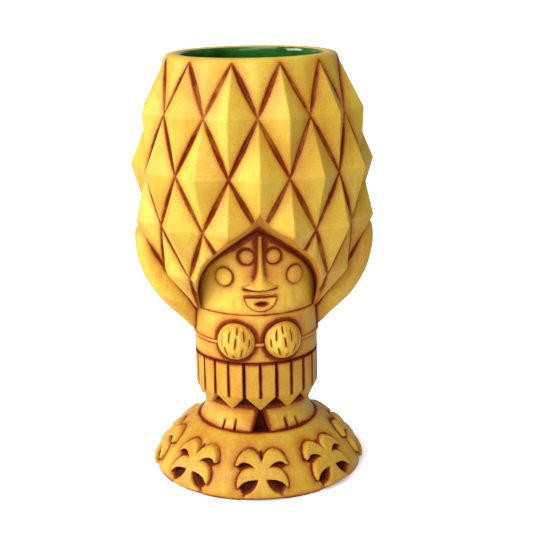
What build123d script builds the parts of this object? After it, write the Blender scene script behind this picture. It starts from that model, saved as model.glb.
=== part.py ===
from build123d import *
import os
from math import cos, radians, sin, tan

# Glazed ceramic tiki mug: a pineapple-shaped cup carried on the head of a small figure that
# stands on a domed foot. +Z is up, the origin is the centre of the foot ring, and the figure
# faces -Y. Millimetres throughout.

# ---- Cup lattice -------------------------------------------------------------------------
COLUMNS = 12
PITCH = 360.0 / COLUMNS
# One entry for each row of the diamond lattice, top to bottom:
# height, radius where the grooves cross, radius of the raised peaks.
LATTICE = [
    (197.0, 40.2, 40.4),
    (175.1, 46.2, 52.1),
    (149.6, 50.9, 56.9),
    (125.4, 49.8, 56.8),
    (101.8, 44.2, 47.6),
    (82.2, 31.2, 31.2),
]
RIM_HEIGHT = 200.0
RIM_INNER_R = 32.4
RIM_CREST_R = 35.4
GLAZE = 0.5
CLAY_WALL = 4.5

# ---- Figure ------------------------------------------------------------------------------
BODY_R = 29.5
BODY_BORE_R = BODY_R - CLAY_WALL
CHIN_Z = 82.8
WAIST_Z = 59.1
SKIRT_CORE_R = 26.0
SKIRT_CORNER_Z = 42.4
SKIRT_TIP_Z = 34.8
SKIRT_TIP_R = 26.3
SKIRT_BORE_R = 21.5
LEG_R = 22.0
LEG_BORE_R = 18.0
LEG_FOOT_Z = 20.0
# Heights where the bore narrows from the torso to the skirt and from the skirt to the legs.
TORSO_STEP_HIGH, TORSO_STEP_LOW = 63.0, 58.0
LEG_STEP_HIGH, LEG_STEP_LOW = 46.0, 41.0
ANKLE_R = 25.3
ANKLE_FLARE_R = 28.2
CHANNEL_LOW_W, CHANNEL_HIGH_W = 8.4, 3.0
# Slits between the toes: angle from the middle of the feet, height above the dome.
TOE_SLITS = [(27.0, 4.9), (40.0, 3.9)]

# The moulded features of the face sit a little to the figure's left of the hood's centre line.
FACE_TURN = 1.5
# Raised discs on the face: the way each points, sideways offset, height, radius.
EYE = (0.0, 6.2, 110.6, 3.4)
CHEEK = (18.0, 7.8, 100.7, 4.4)
DISC_RELIEF = 0.9
MOUTH_Z, MOUTH_HALF_W, MOUTH_DROP = 91.6, 7.5, 6.8

# Outline of an arm on a sheet wrapped round the body: (angle from the front, height), from the
# shoulder up the front edge, over the fingertips and down the back edge.
ARM_OUTLINE = [
    (84, 67.5), (79, 72), (76, 78), (71, 83.5), (68.5, 88), (71, 94), (74, 101), (75, 107), (75.5, 113),
    (78, 118.5), (84, 122.3), (92, 122.6), (100, 118), (105.5, 109), (106, 98), (103, 86), (96, 75.5),
    (89, 68.5),
]

COCONUT_ANGLE, COCONUT_Z, COCONUT_R = 21.8, 70.1, 8.9
COCONUT_SINK_R = 28.0
CORD_Z, CORD_R = 68.6, 0.75

# ---- Foot --------------------------------------------------------------------------------
DOME_R = 50.4
DOME_TOP_R, DOME_TOP_Z = 28.5, 24.5
FOOT_RING_INNER_R = 43.0
FOOT_RECESS = 1.5
FLOOR_Z = 6.5
PALM_COUNT = 8
PALM_TURN = -1.2
PALM_RELIEF = 1.2

# Outline of the hood opening where it breaks the cup, and of the face behind it: half
# outlines from the peak down, each point as (sideways, height).
HOOD_MOUTH = [(0, 134), (9, 125.5), (14.5, 121.8), (20, 117),
              (26, 110), (28.3, 100), (27.8, 92.5), (25.4, 84)]
HOOD_FACE = [(0, 122.5), (5.5, 119.7), (11.9, 115), (18, 110),
             (23, 104), (26.5, 97), (27.7, 91), (26.6, 84)]
HOOD_MOUTH_DEPTH = [51.0, 51.5, 50.5, 48.0, 43.0, 39.0, 35.5, 32.5]
HOOD_FACE_DEPTH = [29.5, 29.0, 27.0, 23.4, 18.5, 13.0, 10.2, 12.8]
HOOD_BLOCK_BACK = 8.0

FORWARD = (0, -1, 0)


def around(radius, angle, z):
    """A point at an angle measured from the front (-Y) towards +X."""
    return (radius * sin(radians(angle)), -radius * cos(radians(angle)), z)


def turned(points):
    """Solid of revolution about Z from an (r, z) polygon."""
    return revolve(make_face(Plane.XZ * Polyline(*points, close=True)), Axis.Z)


def spun(*lines):
    """Solid of revolution about Z from joined (r, z) lines, arcs and splines."""
    edges = [Plane.XZ * line for line in lines]
    return revolve(make_face([edge for line in edges for edge in line.edges()]), Axis.Z)


def tube(outer, inner, low, high):
    return turned([(inner, low), (outer, low), (outer, high), (inner, high)])


def drum(radius, low, high):
    return Pos(0, 0, low) * Cylinder(radius, high - low, align=(Align.CENTER, Align.CENTER, Align.MIN))


def front_slab(points, near, far):
    """An XZ outline pushed forward from depth `near` to depth `far` in front of the axis."""
    outline = make_face(Plane.XZ * Polyline(*points, close=True))
    return Pos(0, -near, 0) * extrude(outline, far - near, dir=FORWARD)


def mirrored(half):
    """A closed left-and-right outline from a half outline that starts on the centre line."""
    left = [(-x, z) for x, z in reversed(half) if x > 0]
    return half + left


def grown(points, amount):
    """A clockwise outline moved outwards by `amount`, corner by corner."""
    moved = []
    for index, (x, z) in enumerate(points):
        before = points[index - 1]
        after = points[(index + 1) % len(points)]
        into = Vector(before[1] - z, x - before[0]).normalized()
        out = Vector(z - after[1], after[0] - x).normalized()
        shift = (into + out) * (amount / (1 + into.dot(out)))
        moved.append((x + shift.X, z + shift.Y))
    return moved


def side(shape):
    """The same piece on the other side of the figure."""
    return mirror(shape, Plane.YZ)


# ---- Cup ---------------------------------------------------------------------------------
def crossing(row, column):
    """Where two grooves cross: odd rows stand on the pitch lines, even rows half-way."""
    z, radius, _ = LATTICE[row]
    half = 0.5 if row % 2 == 0 else 0.0
    return around(radius, (column + half) * PITCH, z)


def peak(row, column):
    """The raised middle of the diamond between crossings `column` and `column + 1`."""
    z, _, radius = LATTICE[row]
    half = 1.0 if row % 2 == 0 else 0.5
    return around(radius, (column + half) * PITCH, z)


def facet(*points):
    return Face(Wire.make_polygon([Vector(*p) for p in points], close=True))


def faceted_body():
    """Closed lattice of four-sided pyramids, flat at the top and bottom."""
    faces = []
    last = len(LATTICE) - 1
    for column in range(COLUMNS):
        for row in range(last):
            left = crossing(row, column)
            right = crossing(row, column + 1)
            middle = peak(row, column)
            below = crossing(row + 1, column + (1 if row % 2 == 0 else 0))
            faces.append(facet(left, below, middle))
            faces.append(facet(below, right, middle))
            if row > 0:
                above = crossing(row - 1, column + (1 if row % 2 == 0 else 0))
                faces.append(facet(right, above, middle))
                faces.append(facet(above, left, middle))
        faces.append(facet(crossing(last - 1, column), crossing(last, column), crossing(last, column + 1)))
    top = []
    for column in range(COLUMNS):
        top += [crossing(0, column), peak(0, column)]
    faces.append(facet(*top))
    faces.append(facet(*[crossing(last, column) for column in range(COLUMNS)]))
    return Solid(Shell(faces))


def rim():
    """Smooth rounded lip above the last row of facets."""
    z, outer, _ = LATTICE[0]
    return spun(
        ThreePointArc((RIM_INNER_R, z), (33.2, 199.15), (RIM_CREST_R, RIM_HEIGHT)),
        ThreePointArc((RIM_CREST_R, RIM_HEIGHT), (38.7, 199.1), (outer, z)),
        Polyline((outer, z), (outer - 1, z - 4), (RIM_INNER_R, z - 4), (RIM_INNER_R, z)),
    )


def drink_space(inset, top):
    """The hollow from the lip to the floor; `inset` shrinks it by the glaze."""
    wall = Spline(
        (RIM_INNER_R - inset, 194),
        (42.4 - inset, 175),
        (47.2 - inset, 150),
        (46.0 - inset, 125.4),
        (40.2 - inset, 101.8),
        (BODY_BORE_R - inset, CHIN_Z),
    )
    lower = Polyline(
        (BODY_BORE_R - inset, CHIN_Z),
        (BODY_BORE_R - inset, TORSO_STEP_HIGH + inset),
        (SKIRT_BORE_R - inset, TORSO_STEP_LOW),
        (SKIRT_BORE_R - inset, LEG_STEP_HIGH + inset),
        (LEG_BORE_R - inset, LEG_STEP_LOW),
        (LEG_BORE_R - inset, LEG_FOOT_Z - 1 - inset),
        (30, 16.5 - inset),
        (37, 12 - inset),
        (41 - inset, FLOOR_Z + inset),
        (0, FLOOR_Z + inset),
        (0, top),
        (RIM_INNER_R - inset, top),
        (RIM_INNER_R - inset, 194),
    )
    return spun(wall, lower)


def hood_section(depth, growth):
    """Outline of the hood at one depth, drafted on the line from its mouth to the face."""
    points = []
    ends = zip(HOOD_MOUTH, HOOD_MOUTH_DEPTH, HOOD_FACE, HOOD_FACE_DEPTH)
    for mouth, mouth_depth, face, face_depth in ends:
        t = (depth - face_depth) / (mouth_depth - face_depth)
        points.append((face[0] + t * (mouth[0] - face[0]), face[1] + t * (mouth[1] - face[1])))
    points.append((points[-1][0], 76))
    outline = Polyline(*grown(mirrored(points), growth), close=True)
    return Pos(0, -depth, 0) * make_face(Plane.XZ * outline)


def hood_tunnel(growth, back, bore):
    """The hood from its mouth back to a bore about the axis, `growth` wider all round."""
    tunnel = loft([hood_section(64.0, growth), hood_section(back, growth)], ruled=True)
    return tunnel - drum(bore, 60, 160)


def hood_recess():
    return hood_tunnel(0, HOOD_BLOCK_BACK, BODY_R)


def hood_block(extra):
    """Clay round the hood and behind the face, one wall thick, plus `extra`."""
    return hood_tunnel(CLAY_WALL + extra, HOOD_BLOCK_BACK - extra, BODY_BORE_R - extra)


def pineapple_cup(face):
    body = faceted_body() + rim()
    hollow = drink_space(0, RIM_HEIGHT + 5) - hood_block(0)
    cup = body - hollow - hood_recess() - drum(BODY_R, 60, CHIN_Z)
    return cup - face


def face_wall():
    """The face: the drum of the body carried up behind the hood."""
    wall = hood_block(0) & tube(BODY_R, BODY_BORE_R - 1, CHIN_Z, 150)
    chin_groove = turned([(BODY_R - 0.6, CHIN_Z), (BODY_R + 1, CHIN_Z), (BODY_R + 1, CHIN_Z + 1.6)])
    return wall - chin_groove


def green_glaze_liner():
    """The glaze coat on the inside, from just below the lip to the floor."""
    coated = drink_space(0, 197) - hood_block(0)
    bare = drink_space(GLAZE, 199) - hood_block(GLAZE)
    return coated - bare


# ---- Face --------------------------------------------------------------------------------
def on_face(shape):
    return Rot(0, 0, FACE_TURN) * shape


def raised_disc(disc):
    """A low round disc lying on the curved face, left of the middle."""
    angle, x, z, radius = disc
    plug = Rot(0, 0, angle) * Pos(x, -BODY_R, z) * Rot(90, 0, 0) * Cylinder(radius, 12)
    return plug & tube(BODY_R + DISC_RELIEF, BODY_R, z - 12, z + 12)


def nose():
    """A long narrow bridge that flares into a wide base, highest at the bottom."""
    half = [(0, 120.4), (1.1, 119.9), (1.3, 106), (1.9, 102), (3.3, 99), (5.2, 97.6), (7.4, 96.4),
            (6.8, 95.8), (0, 94.8)]
    outline = front_slab(mirrored(half), 20, 40)
    relief = [(-3, 93), (3.3, 94), (2.9, 97), (2.1, 104), (1.2, 120), (1.2, 122), (-3, 122)]
    ridge = [(-BODY_R - height, z) for height, z in relief]
    profile = extrude(make_face(Plane.YZ * Polyline(*ridge, close=True)), 10, both=True)
    return (outline & profile) - drum(BODY_R, 60, 160)


def mouth():
    """A half-round mouth with one slot between the lips."""
    arc = ThreePointArc((MOUTH_HALF_W, MOUTH_Z), (0, MOUTH_Z - MOUTH_DROP), (-MOUTH_HALF_W, MOUTH_Z))
    top = Line((-MOUTH_HALF_W, MOUTH_Z), (MOUTH_HALF_W, MOUTH_Z))
    edges = (Plane.XZ * arc).edges() + (Plane.XZ * top).edges()
    lips = Pos(0, -20, 0) * extrude(make_face(edges), 20, dir=FORWARD)
    shell = tube(BODY_R + 1.6, BODY_R, MOUTH_Z - 12, MOUTH_Z + 2)
    slot = Pos(0, -BODY_R - 2, MOUTH_Z - 3.0) * Box(5.0, 5.6, 1.2)
    return (lips & shell) - slot


# ---- Body --------------------------------------------------------------------------------
def torso_drum():
    """Torso, skirt core and leg tube turned in one, open from end to end."""
    ease = 0.6
    return turned([
        (BODY_BORE_R, CHIN_Z),
        (BODY_R - ease, CHIN_Z),
        (BODY_R, CHIN_Z - ease),
        (BODY_R, WAIST_Z + ease),
        (BODY_R - ease, WAIST_Z),
        (SKIRT_CORE_R, WAIST_Z),
        (SKIRT_CORE_R, SKIRT_CORNER_Z),
        (LEG_R, SKIRT_CORNER_Z),
        (LEG_R, LEG_FOOT_Z),
        (LEG_BORE_R, LEG_FOOT_Z),
        (LEG_BORE_R, LEG_STEP_LOW),
        (SKIRT_BORE_R, LEG_STEP_HIGH),
        (SKIRT_BORE_R, TORSO_STEP_LOW),
        (BODY_BORE_R, TORSO_STEP_HIGH),
    ])


def arm_section(x):
    """The arm's outline on the plane `x` to the side, its edges running back to the axis."""
    points = [(-x / tan(radians(angle)), z) for angle, z in ARM_OUTLINE]
    return Pos(x, 0, 0) * make_face(Plane.YZ * Spline(*points, periodic=True))


def left_arm():
    """An arm raised from the shoulder to hold the cup, tapering to the fingertips."""
    outer = [(26, 66), (29.9, 66), (34.6, 73.5), (41.4, 80.5), (46.6, 86.6), (50.6, 93), (53.6, 99),
             (55.6, 105), (56.8, 111), (56.4, 117), (55.0, 124), (40, 124)]
    wedge = loft([arm_section(15), arm_section(60)], ruled=True)
    return (turned(outer) & wedge) - faceted_body() - drum(BODY_R, 50, CHIN_Z)


def coconut(sign):
    """A husk half bedded on the torso."""
    centre = around(COCONUT_SINK_R, sign * COCONUT_ANGLE, COCONUT_Z)
    return Pos(*centre) * Sphere(COCONUT_R) - drum(BODY_R, 50, CHIN_Z)


def bra_cord(blockers):
    """A cord round the torso, broken where the coconuts and arms sit over it."""
    ring = Pos(0, 0, CORD_Z) * Torus(BODY_R, CORD_R) - drum(BODY_R, 50, CHIN_Z)
    for blocker in blockers:
        ring = ring - blocker
    return ring


def skirt_panel():
    """One panel: two flat planks side by side and a pointed lower end leaning inwards."""
    flat = PITCH / 2
    corner_r = BODY_R / cos(radians(flat / 2))
    tip_r = SKIRT_TIP_R / cos(radians(flat / 2))
    sides = round(360 / flat)
    upper = Pos(0, 0, SKIRT_CORNER_Z) * extrude(RegularPolygon(corner_r, sides), WAIST_Z - SKIRT_CORNER_Z)
    ends = [
        Pos(0, 0, SKIRT_CORNER_Z) * RegularPolygon(corner_r, sides),
        Pos(0, 0, SKIRT_TIP_Z - 0.4) * RegularPolygon(tip_r, sides),
    ]
    lower = loft(ends, ruled=True)
    core = turned([(0, 30), (ANKLE_R + 0.1, 30), (ANKLE_R + 0.1, 37), (SKIRT_CORE_R, SKIRT_CORNER_Z),
                   (SKIRT_CORE_R, WAIST_Z + 1), (0, WAIST_Z + 1)])
    half_w = BODY_R * sin(radians(PITCH / 2)) - 0.5
    outline = front_slab([(-half_w, WAIST_Z), (half_w, WAIST_Z), (half_w, SKIRT_CORNER_Z),
                          (0, SKIRT_TIP_Z), (-half_w, SKIRT_CORNER_Z)], 18, 40)
    slit = Pos(0, -BODY_R, (WAIST_Z + SKIRT_CORNER_Z) / 2) * Box(1.1, 3.2, WAIST_Z - SKIRT_CORNER_Z)
    return ((upper + lower) & outline) - core - slit


def skirt_panels():
    panel = skirt_panel()
    return [Rot(0, 0, column * PITCH) * panel for column in range(COLUMNS)]


def left_foot():
    """Half of the ankle drum with its flared foot and two toe slits."""
    ankle = turned([
        (LEG_R, DOME_TOP_Z), (ANKLE_FLARE_R, DOME_TOP_Z), (27.0, 26.4), (25.8, 28.6),
        (ANKLE_R, 31), (ANKLE_R, 37), (24.2, SKIRT_CORNER_Z), (LEG_R, SKIRT_CORNER_Z),
    ])
    low, high = CHANNEL_LOW_W / 2, CHANNEL_HIGH_W / 2
    outline = [(low, DOME_TOP_Z), (40, DOME_TOP_Z), (40, 45), (high, 45), (high, 33)]
    foot = ankle & front_slab(outline, -40, 40)
    for angle, height in TOE_SLITS:
        slit = Pos(0, -ANKLE_FLARE_R, DOME_TOP_Z + height / 2) * Box(1.0, 5.6, height)
        foot = foot - Rot(0, 0, angle) * slit
    return foot


# ---- Foot --------------------------------------------------------------------------------
def dome_profile(grow):
    return [
        (DOME_TOP_R, DOME_TOP_Z + grow),
        (33.9 + grow * 0.4, 22.0 + grow * 0.9),
        (39.4 + grow * 0.7, 17.7 + grow * 0.7),
        (44.8 + grow * 0.75, 11.9 + grow * 0.65),
        (48.2 + grow * 0.85, 7.2 + grow * 0.5),
        (DOME_R + grow * 0.95, 2.6 + grow * 0.3),
    ]


def dome_solid(grow):
    top = dome_profile(grow)[0]
    low = dome_profile(grow)[-1]
    rest = Polyline(low, (low[0], 0.7), (low[0] - 0.7, 0), (0, 0), (0, top[1]), top)
    return spun(Spline(*dome_profile(grow)), rest)


def base_dome():
    """Domed foot, hollow inside, standing on a ring; the leg tube drops into its socket."""
    recess = drum(FOOT_RING_INNER_R, -1, FOOT_RECESS)
    return dome_solid(0) - drink_space(0, 60) - drum(LEG_R, LEG_FOOT_Z, 60) - recess


def palm_outline():
    """Half outline of a palm from the notch at its crown round both fronds to the trunk."""
    upper = [(0, 15.7), (1.2, 18.0), (3.2, 19.5), (5.5, 19.9), (8.2, 19.1), (10.7, 17.1), (12.4, 14.1),
             (9.6, 15.4), (7.9, 15.7), (5.6, 15.2), (3.2, 13.8)]
    lower = [(5.5, 13.6), (7.6, 13.1), (9.6, 12.0), (11.2, 9.9),
             (12.0, 7.6), (11.8, 5.5), (9.2, 8.0), (6.6, 9.0)]
    trunk = [(2.0, 9.4), (2.3, 8.0), (3.6, 6.0), (5.6, 4.2), (8.2, 2.9), (8.2, 1.8), (0, 1.8)]
    return upper + lower + trunk


def palm_sprigs():
    shell = dome_solid(PALM_RELIEF) - dome_solid(0)
    palm = front_slab(mirrored(palm_outline()), 20, 60) & shell
    return [Rot(0, 0, PALM_TURN + 360.0 / PALM_COUNT * turn) * palm for turn in range(PALM_COUNT)]


# ---- Assembly ----------------------------------------------------------------------------
os.makedirs("parts", exist_ok=True)


def save(shape, node):
    if isinstance(shape, list):
        shape = Compound(children=[solid for item in shape for solid in item.solids()])
    export_step(shape, f"parts/{node}.step")


face = face_wall()
save(face, "face_wall")
save(pineapple_cup(face), "pineapple_cup")
save(green_glaze_liner(), "green_glaze_liner")

left_eye = raised_disc(EYE)
save(on_face(left_eye), "left_eye")
save(on_face(side(left_eye)), "right_eye")
left_cheek = raised_disc(CHEEK)
save(on_face(left_cheek), "left_cheek")
save(on_face(side(left_cheek)), "right_cheek")
save(on_face(nose()), "nose")
save(on_face(mouth()), "mouth")

save(torso_drum(), "torso_drum")
arm = left_arm()
save(arm, "left_arm")
save(side(arm), "right_arm")
coconuts = [coconut(1), coconut(-1)]
save(coconuts[0], "left_coconut")
save(coconuts[1], "right_coconut")
save([bra_cord(coconuts + [arm, side(arm)])], "bra_cord")

save(skirt_panels(), "skirt_panels")
foot = left_foot()
save(foot, "left_foot")
save(side(foot), "right_foot")
save(base_dome(), "base_dome")
save(palm_sprigs(), "palm_sprigs")
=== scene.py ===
import math

import bpy
import numpy as np
from mathutils import Matrix, Vector


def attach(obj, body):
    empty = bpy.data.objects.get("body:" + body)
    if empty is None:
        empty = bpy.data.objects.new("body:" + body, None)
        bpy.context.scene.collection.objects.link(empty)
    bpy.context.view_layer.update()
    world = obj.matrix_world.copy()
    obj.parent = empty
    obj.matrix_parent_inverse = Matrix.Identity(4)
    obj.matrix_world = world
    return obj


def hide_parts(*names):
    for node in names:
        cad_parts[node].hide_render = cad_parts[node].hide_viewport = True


# Glazed ceramic tiki mug. Every clay piece is described by a distance field in millimetres
# (negative inside), meshed by a surface net and coloured by a per-vertex distance
# that tells the antiquing wash how far it is from the nearest groove or joint. In a few places that
# distance also carries painted shade: the foot under the skirt, the skirt under the cup, the eyes and
# forehead under the hood, and a contact line along the base's bottom edge.
# +Z is up, the figure faces -Y, the origin is the centre of the foot ring.

MM = 0.001
BODY_R = 29.5
BODY_BORE_R = 25.0
CHIN_Z = 82.8
WAIST_Z = 59.1
DOME_TOP_R, DOME_TOP_Z, DOME_R = 28.5, 24.5, 50.4
LIP_Z = 200.0

# Rows of the cup's diamond lattice: height, radius at the groove crossings, radius at the peaks.
LATTICE = [
    (198.2, 39.9, 40.1),
    (175.1, 46.2, 52.1),
    (149.6, 50.9, 56.9),
    (125.4, 49.8, 56.8),
    (101.8, 44.2, 47.6),
    (82.2, 31.2, 31.2),
]
PITCH = math.radians(30.0)


# ---- Field tools -------------------------------------------------------------------------
def soft_max(a, b, k):
    h = np.clip(0.5 + 0.5 * (a - b) / k, 0.0, 1.0)
    return b + (a - b) * h + k * h * (1.0 - h)


def soft_min(a, b, k):
    return -soft_max(-a, -b, k)


def round_max(a, b, r):
    """Intersection of two fields whose outer edge is a true fillet of radius r."""
    u = np.maximum(a + r, 0.0)
    v = np.maximum(b + r, 0.0)
    return np.minimum(np.maximum(a, b), -r) + np.hypot(u, v)


def smooth_step(low, high, x):
    t = np.clip((x - low) / (high - low), 0.0, 1.0)
    return t * t * (3.0 - 2.0 * t)


def polar(p):
    """Radius and angle from the front (-Y) towards +X."""
    return np.hypot(p[:, 0], p[:, 1]), np.arctan2(p[:, 0], -p[:, 1])


def turn(p, angle):
    """Points as seen by a piece that was turned about Z by `angle` from the front."""
    c, s = math.cos(angle), math.sin(angle)
    return np.stack([c * p[:, 0] + s * p[:, 1], -s * p[:, 0] + c * p[:, 1], p[:, 2]], 1)


def folded(p, pitch):
    """Points folded by symmetry into the half pitch next to the front line."""
    r, a = polar(p)
    a = np.abs((a + pitch / 2) % pitch - pitch / 2)
    return np.stack([r * np.sin(a), -r * np.cos(a), p[:, 2]], 1)


def segment_distance(p, a, b):
    """Distance to a straight segment and how far along it the nearest point is (0 to 1)."""
    a, b = np.asarray(a, float), np.asarray(b, float)
    ab = b - a
    t = np.clip((p - a) @ ab / (ab @ ab), 0.0, 1.0)
    return np.linalg.norm(p - a - t[:, None] * ab, axis=1), t


def polygon_distance(u, v, points):
    """Signed distance in the plane to a closed polygon, negative inside."""
    best = np.full(len(u), 1e9)
    inside = np.zeros(len(u), bool)
    for i, (x1, y1) in enumerate(points):
        x0, y0 = points[i - 1]
        ex, ey = x1 - x0, y1 - y0
        t = np.clip(((u - x0) * ex + (v - y0) * ey) / (ex * ex + ey * ey), 0.0, 1.0)
        best = np.minimum(best, np.hypot(u - x0 - t * ex, v - y0 - t * ey))
        if ey != 0:
            crosses = ((y0 > v) != (y1 > v)) & (u < (v - y0) / ey * ex + x0)
            inside ^= crosses
    return np.where(inside, -best, best)


def smooth_outline(points, steps=6, closed=True):
    """Catmull-Rom curve through the points."""
    pts = np.asarray(points, float)
    n = len(pts)
    out = []
    for i in range(n if closed else n - 1):
        p0 = pts[(i - 1) % n] if closed or i > 0 else pts[0]
        p1, p2 = pts[i], pts[(i + 1) % n]
        p3 = pts[(i + 2) % n] if closed or i + 2 < n else pts[-1]
        for j in range(steps):
            t = j / steps
            out.append(0.5 * (2 * p1 + (p2 - p0) * t + (2 * p0 - 5 * p1 + 4 * p2 - p3) * t * t
                              + (3 * p1 - p0 - 3 * p2 + p3) * t ** 3))
    if not closed:
        out.append(pts[-1])
    return np.array(out)


class Turned:
    """Field of a solid of revolution: its (r, z) polygon held as a table of distances."""

    STEP = 0.3

    def __init__(self, points):
        points = np.array(points, float)
        # An edge along the axis is no surface, so it is moved out of reach on the far side.
        points[points[:, 0] == 0.0, 0] = -20.0
        self.low = np.array([-4.0, points[:, 1].min() - 14.0])
        high = points.max(0) + 14.0
        self.shape = np.ceil((high - self.low) / self.STEP).astype(int) + 2
        r = self.low[0] + self.STEP * np.arange(self.shape[0])
        z = self.low[1] + self.STEP * np.arange(self.shape[1])
        rr, zz = np.meshgrid(r, z, indexing="ij")
        self.table = polygon_distance(np.abs(rr).ravel(), zz.ravel(), points).reshape(self.shape)

    def __call__(self, p):
        uv = (np.stack([np.hypot(p[:, 0], p[:, 1]), p[:, 2]], 1) - self.low) / self.STEP
        clipped = np.clip(uv, 0, self.shape - 1.001)
        i = clipped.astype(int)
        f = clipped - i
        t = self.table
        a = t[i[:, 0], i[:, 1]] * (1 - f[:, 0]) + t[i[:, 0] + 1, i[:, 1]] * f[:, 0]
        b = t[i[:, 0], i[:, 1] + 1] * (1 - f[:, 0]) + t[i[:, 0] + 1, i[:, 1] + 1] * f[:, 0]
        return a * (1 - f[:, 1]) + b * f[:, 1] + np.abs(uv - clipped).sum(1) * self.STEP


# ---- Meshing -----------------------------------------------------------------------------
BLOCK = 8


def sampled(field, low, high, step):
    """Field values on a grid; far blocks are filled from their centres only."""
    count = np.ceil((np.asarray(high) - np.asarray(low)) / step / BLOCK).astype(int)
    origin = np.asarray(low, float)
    centres = np.stack(np.meshgrid(*[np.arange(c) for c in count], indexing="ij"), -1).reshape(-1, 3)
    middle = origin + (centres * BLOCK + (BLOCK - 1) / 2) * step
    coarse = np.concatenate([field(part) for part in np.array_split(middle, len(middle) // 200000 + 1)])
    reach = BLOCK * step * math.sqrt(3) / 2 * 1.25 + step * 2
    values = np.repeat(coarse[:, None], BLOCK ** 3, 1).astype(np.float32)
    near = np.flatnonzero(np.abs(coarse) < reach)
    offsets = np.stack(np.meshgrid(*[np.arange(BLOCK)] * 3, indexing="ij"), -1).reshape(-1, 3)
    for part in np.array_split(near, len(near) // 400 + 1):
        points = origin + (centres[part][:, None] * BLOCK + offsets[None]) * step
        values[part] = field(points.reshape(-1, 3)).reshape(len(part), -1)
    grid = values.reshape(*count, BLOCK, BLOCK, BLOCK).transpose(0, 3, 1, 4, 2, 5)
    return grid.reshape(*(count * BLOCK)), origin


def surface_net(grid, origin, step):
    """Quads around every grid edge the surface crosses, one vertex for each crossed cell."""
    inside = grid < 0
    hit = np.zeros(np.array(grid.shape) - 1, np.int8)
    corners = [(i, j, k) for i in (0, 1) for j in (0, 1) for k in (0, 1)]
    for i, j, k in corners:
        hit += inside[i:hit.shape[0] + i, j:hit.shape[1] + j, k:hit.shape[2] + k]
    cells = np.argwhere((hit > 0) & (hit < 8))
    total = np.zeros((len(cells), 3))
    crossings = np.zeros(len(cells))
    for axis in range(3):
        unit = np.eye(3, dtype=int)[axis]
        for corner in corners:
            if corner[axis]:
                continue
            start = cells + corner
            a = grid[tuple(start.T)]
            b = grid[tuple((start + unit).T)]
            cut = (a < 0) != (b < 0)
            t = np.where(cut, a / np.where(cut, a - b, 1.0), 0.0)
            total += cut[:, None] * (np.array(corner) + t[:, None] * unit)
            crossings += cut
    vertices = origin + (cells + total / crossings[:, None]) * step
    number = np.full(hit.shape, -1, np.int32)
    number[tuple(cells.T)] = np.arange(len(cells))
    quads = []
    for axis in range(3):
        first, second = [(1, 2), (2, 0), (0, 1)][axis]
        ahead = np.take(inside, range(1, grid.shape[axis]), axis)
        behind = np.take(inside, range(0, grid.shape[axis] - 1), axis)
        edges = np.argwhere(ahead != behind)
        keep = (edges[:, first] > 0) & (edges[:, second] > 0)
        for side in (first, second):
            keep &= edges[:, side] < hit.shape[side]
        edges = edges[keep]
        u, v = np.eye(3, dtype=int)[first], np.eye(3, dtype=int)[second]
        ring = np.stack([number[tuple((edges - a * u - b * v).T)] for a, b in ((1, 1), (0, 1), (0, 0), (1, 0))], 1)
        flip = ~behind[tuple(edges.T)]
        ring[flip] = ring[flip][:, ::-1]
        quads.append(ring)
    return vertices, np.concatenate(quads)


def settled(field, vertices, step):
    """Vertices pulled onto the surface along the field's slope."""
    h = 0.05
    for _ in range(2):
        value = field(vertices)
        slope = np.stack([field(vertices + h * axis) - value for axis in np.eye(3)], 1) / h
        move = value[:, None] * slope / np.maximum((slope ** 2).sum(1), 0.2)[:, None]
        length = np.linalg.norm(move, axis=1, keepdims=True)
        vertices = vertices - move * np.minimum(1.0, 0.35 * step / np.maximum(length, 1e-9))
    return vertices


def clay(name, field, low, high, step, wash_and_shade):
    """Meshes one piece and stores, in millimetres, its wash distance: mostly the distance to the nearest crevice, in
    places a painted shade term.
    """
    grid, origin = sampled(field, low, high, step)
    vertices, quads = surface_net(grid, origin, step)
    vertices = settled(field, vertices, step)
    mesh = bpy.data.meshes.new(name)
    mesh.vertices.add(len(vertices))
    mesh.vertices.foreach_set("co", (vertices * MM).astype(np.float32).ravel())
    mesh.loops.add(quads.size)
    mesh.loops.foreach_set("vertex_index", quads.astype(np.int32).ravel())
    mesh.polygons.add(len(quads))
    mesh.polygons.foreach_set("loop_start", np.arange(0, quads.size, 4, dtype=np.int32))
    mesh.update(calc_edges=True)
    mesh.validate()
    mesh.shade_smooth()
    layer = mesh.attributes.new("wash_and_shade", "FLOAT", "POINT")
    distance = np.clip(wash_and_shade(vertices), -3.0, 12.0)
    layer.data.foreach_set("value", distance.astype(np.float32))
    piece = bpy.data.objects.new(name, mesh)
    bpy.context.scene.collection.objects.link(piece)
    print(f"{name}: {len(vertices)} vertices")
    return piece


# ---- Cup ---------------------------------------------------------------------------------
def crossing(row, half_steps):
    """A groove crossing, at a whole number of half pitches from the front."""
    z, radius, _ = LATTICE[row]
    a = half_steps * PITCH / 2
    return np.array([radius * math.sin(a), -radius * math.cos(a), z])


def peak(row, half_steps):
    z, _, radius = LATTICE[row]
    a = half_steps * PITCH / 2
    return np.array([radius * math.sin(a), -radius * math.cos(a), z])


def facet_plane(a, b, c):
    """Unit normal pointing away from the axis, and offset, of the plane through three points."""
    normal = np.cross(b - a, c - a)
    normal /= np.linalg.norm(normal)
    if normal @ np.array([a[0], a[1], 0.0]) < 0:
        normal = -normal
    return normal, normal @ a


def diamond_planes(row):
    """The facets of the diamond of this row that lies in or next to the folded half pitch."""
    middle = 0 if row % 2 == 0 else 1
    top = peak(row, middle)
    left, right = crossing(row, middle - 1), crossing(row, middle + 1)
    planes = []
    if row > 0:
        above = crossing(row - 1, middle)
        planes += [facet_plane(left, above, top), facet_plane(right, above, top)]
    if row < len(LATTICE) - 1:
        below = crossing(row + 1, middle)
        planes += [facet_plane(left, below, top), facet_plane(right, below, top)]
    return planes


RIDGE_SOFT, VALLEY_SOFT = 0.35, 0.4
FACETS = [diamond_planes(row) for row in range(len(LATTICE))]
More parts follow.
